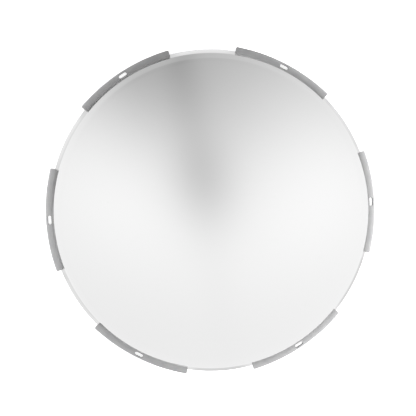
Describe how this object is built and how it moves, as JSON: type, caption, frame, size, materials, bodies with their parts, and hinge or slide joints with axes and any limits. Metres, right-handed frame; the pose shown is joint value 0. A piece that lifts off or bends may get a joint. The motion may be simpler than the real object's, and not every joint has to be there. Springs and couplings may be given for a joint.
{
  "type": "convex security mirror",
  "caption": "Shallow convex dome mirror with a narrow flat flange, gripped round its edge by slotted sheet-metal clips for screwing it to a wall or ceiling.",
  "frame": {"origin": "centre of the plane made by the backs of the clips, where the mirror meets its wall", "axes": "+Z out of the wall along the dome's axis of symmetry, +X through the middle of clip 1"},
  "size_m": [0.6144, 0.6026, 0.1333],
  "materials": {
    "mirror_sheet": "mirror-coated clear acrylic sheet, polished",
    "clip_metal": "satin, bent sheet",
    "liner_rubber": "matt pale soft strip"
  },
  "bodies": {
    "root": {"mirror_dome": "mirror_sheet", "clip_1": "clip_metal", "clip_2": "clip_metal", "clip_3": "clip_metal", "clip_4": "clip_metal", "clip_5": "clip_metal", "clip_6": "clip_metal", "edge_liner_1": "liner_rubber", "edge_liner_2": "liner_rubber", "edge_liner_3": "liner_rubber", "edge_liner_4": "liner_rubber", "edge_liner_5": "liner_rubber", "edge_liner_6": "liner_rubber"}
  },
  "joints": []
}
